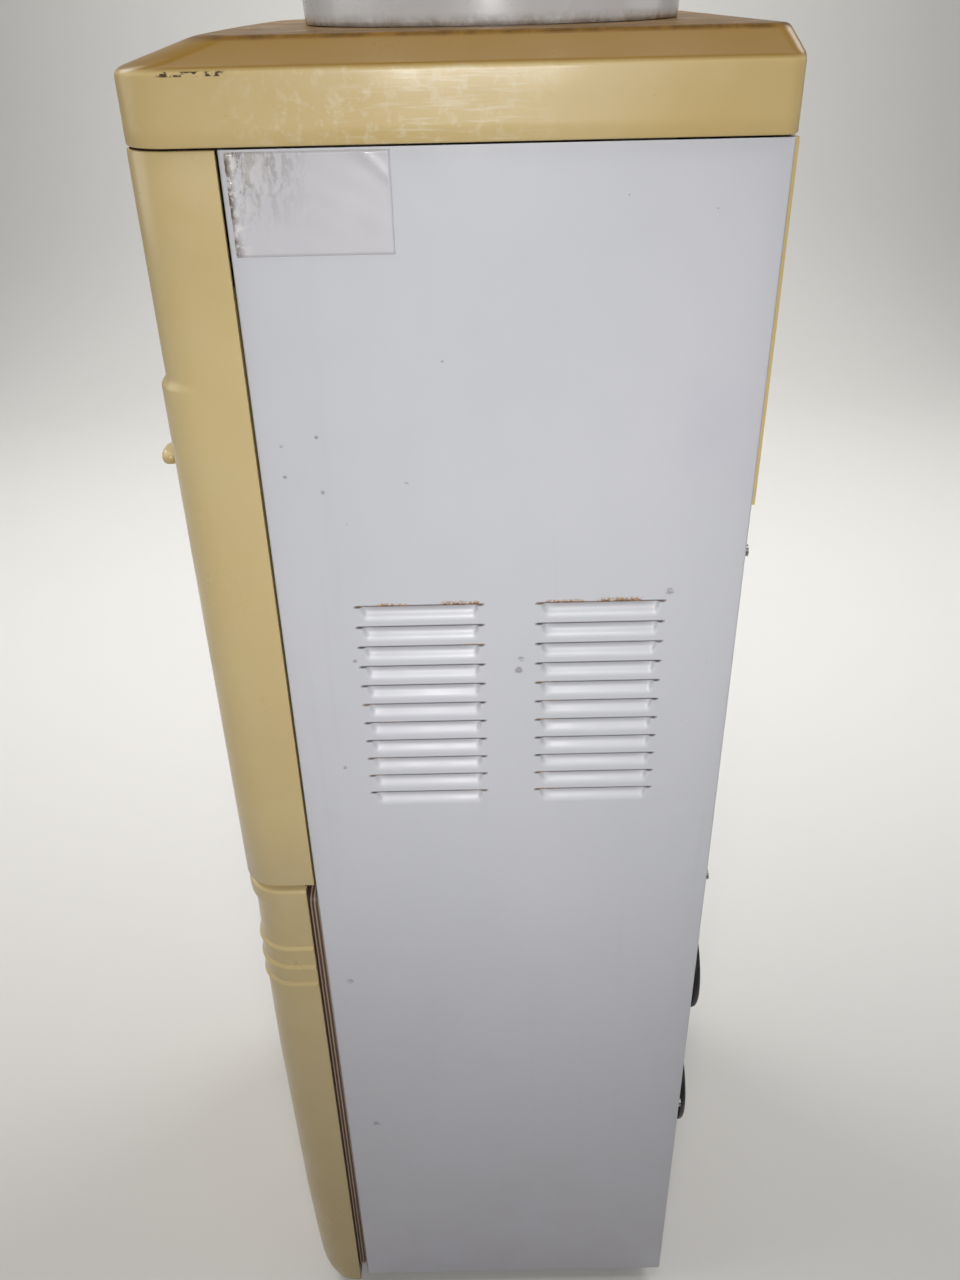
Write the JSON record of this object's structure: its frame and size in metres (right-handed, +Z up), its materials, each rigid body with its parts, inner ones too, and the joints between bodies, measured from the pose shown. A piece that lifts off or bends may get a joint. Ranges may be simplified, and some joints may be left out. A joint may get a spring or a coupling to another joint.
{
  "type": "water dispenser",
  "caption": "Floor-standing hot and cold water dispenser with a bottle collar, press taps over a drip tray, and a gasketed lower cabinet.",
  "frame": {"origin": "centre of the model's footprint on the floor, under the feet", "axes": "+Z up, front towards -Y, the user's right-hand side towards +X"},
  "size_m": [0.31, 0.3551, 1.019],
  "materials": {
    "cabinet_paint": "semi-gloss white paint",
    "galvanised": "satin zinc",
    "beige_plastic": "aged, semi-gloss",
    "grey_collar": "gloss",
    "dark_plastic": "matte",
    "liner_plastic": "satin",
    "gasket_rubber": "matte",
    "soft_rubber": "matte",
    "foam": "rigid foam",
    "stainless": "brushed",
    "black_steel": "semi-gloss black",
    "copper": "dull copper",
    "zinc_screw": "bright zinc",
    "silicone": "translucent",
    "lamp_lens": "gloss",
    "tray_plastic": "matte",
    "label_film": "film"
  },
  "bodies": {
    "cabinet": {"side_panel_right": "cabinet_paint", "side_panel_left": "cabinet_paint", "base_pan": "galvanised", "feet": "dark_plastic", "front_rail": "galvanised", "divider_plate": "galvanised", "tank_shelf": "galvanised", "back_panel": "galvanised", "rear_upper_cover": "beige_plastic", "back_screws": "zinc_screw", "top_cover": "beige_plastic", "front_panel": "beige_plastic", "alcove_liner": "beige_plastic", "indicator_lamps": "lamp_lens", "hinge_bracket_top": "galvanised", "hinge_bracket_bottom": "galvanised", "hinge_pins": "zinc_screw", "cabinet_liner": "liner_plastic", "cabinet_insulation": "foam", "wire_shelf": "zinc_screw", "compressor": "black_steel", "compressor_grommets": "soft_rubber", "start_relay_box": "dark_plastic", "condenser_tube": "black_steel", "condenser_wires": "black_steel", "condenser_brackets": "black_steel", "filter_drier": "copper", "refrigerant_pipes": "copper", "cold_tank": "stainless", "tank_seal_ring": "silicone", "baffle": "liner_plastic", "evaporator_coil": "copper", "cold_insulation": "foam", "hot_tank": "stainless", "heater_band": "galvanised", "thermostats": "dark_plastic", "hoses": "silicone", "drain_pipe": "liner_plastic", "hot_tap_body": "beige_plastic", "cold_tap_body": "beige_plastic", "tap_hardware": "zinc_screw", "switch_bodies": "dark_plastic", "power_gland": "dark_plastic", "side_label": "label_film"},
    "door": {"door_shell": "beige_plastic", "door_liner": "liner_plastic", "door_insulation": "foam", "door_gasket": "gasket_rubber", "hinge_bushes": "liner_plastic"},
    "drip_tray": {"drip_tray": "tray_plastic"},
    "drip_grille": {"drip_grille": "tray_plastic"},
    "collar": {"bottle_collar": "grey_collar", "bottle_probe": "liner_plastic"},
    "hot_lever": {"hot_tap_lever": "beige_plastic"},
    "cold_lever": {"cold_tap_lever": "beige_plastic"},
    "hot_stem": {"hot_tap_stem": "liner_plastic"},
    "cold_stem": {"cold_tap_stem": "liner_plastic"},
    "cooling_rocker": {"cooling_switch_rocker": "dark_plastic"},
    "heating_rocker": {"heating_switch_rocker": "dark_plastic"},
    "drain_cap": {"drain_cap": "liner_plastic"}
  },
  "joints": [
    {"name": "door_hinge", "type": "hinge", "parent": "cabinet", "child": "door", "pos_m": [-0.144, -0.10955, 0.242], "axis": [0, 0, -1], "range_deg": [0, 110]},
    {"name": "drip_tray_slide", "type": "slide", "parent": "cabinet", "child": "drip_tray", "axis": [0, -1, 0], "range_m": [0, 0.06]},
    {"name": "drip_grille_lift", "type": "slide", "parent": "drip_tray", "child": "drip_grille", "axis": [0, 0, 1], "range_m": [0, 0.03]},
    {"name": "collar_lift", "type": "slide", "parent": "cabinet", "child": "collar", "axis": [0, 0, 1], "range_m": [0, 0.06]},
    {"name": "hot_lever_press", "type": "hinge", "parent": "cabinet", "child": "hot_lever", "pos_m": [-0.05, -0.12655, 0.763], "axis": [1, 0, 0], "range_deg": [0, 18], "stiffness_Nm_per_rad": 0.35, "springref_deg": -6.88},
    {"name": "hot_stem_lift", "type": "slide", "parent": "cabinet", "child": "hot_stem", "axis": [0, 0, 1], "range_m": [0, 0.0062]},
    {"name": "cold_lever_press", "type": "hinge", "parent": "cabinet", "child": "cold_lever", "pos_m": [0.05, -0.12655, 0.763], "axis": [1, 0, 0], "range_deg": [0, 18], "stiffness_Nm_per_rad": 0.35, "springref_deg": -6.88},
    {"name": "cold_stem_lift", "type": "slide", "parent": "cabinet", "child": "cold_stem", "axis": [0, 0, 1], "range_m": [0, 0.0062]},
    {"name": "cooling_rocker_tilt", "type": "hinge", "parent": "cabinet", "child": "cooling_rocker", "pos_m": [0.108, 0.15745, 0.6], "axis": [1, 0, 0], "range_deg": [-16, 0]},
    {"name": "heating_rocker_tilt", "type": "hinge", "parent": "cabinet", "child": "heating_rocker", "pos_m": [0.108, 0.15745, 0.65], "axis": [1, 0, 0], "range_deg": [-16, 0]},
    {"name": "drain_cap_pull", "type": "slide", "parent": "cabinet", "child": "drain_cap", "axis": [0, 1, 0], "range_m": [0, 0.02]}
  ],
  "couplings": [
    {"joint": "hot_stem_lift", "follows": "hot_lever_press", "m_per_rad": 0.0185},
    {"joint": "cold_stem_lift", "follows": "cold_lever_press", "m_per_rad": 0.0185}
  ]
}
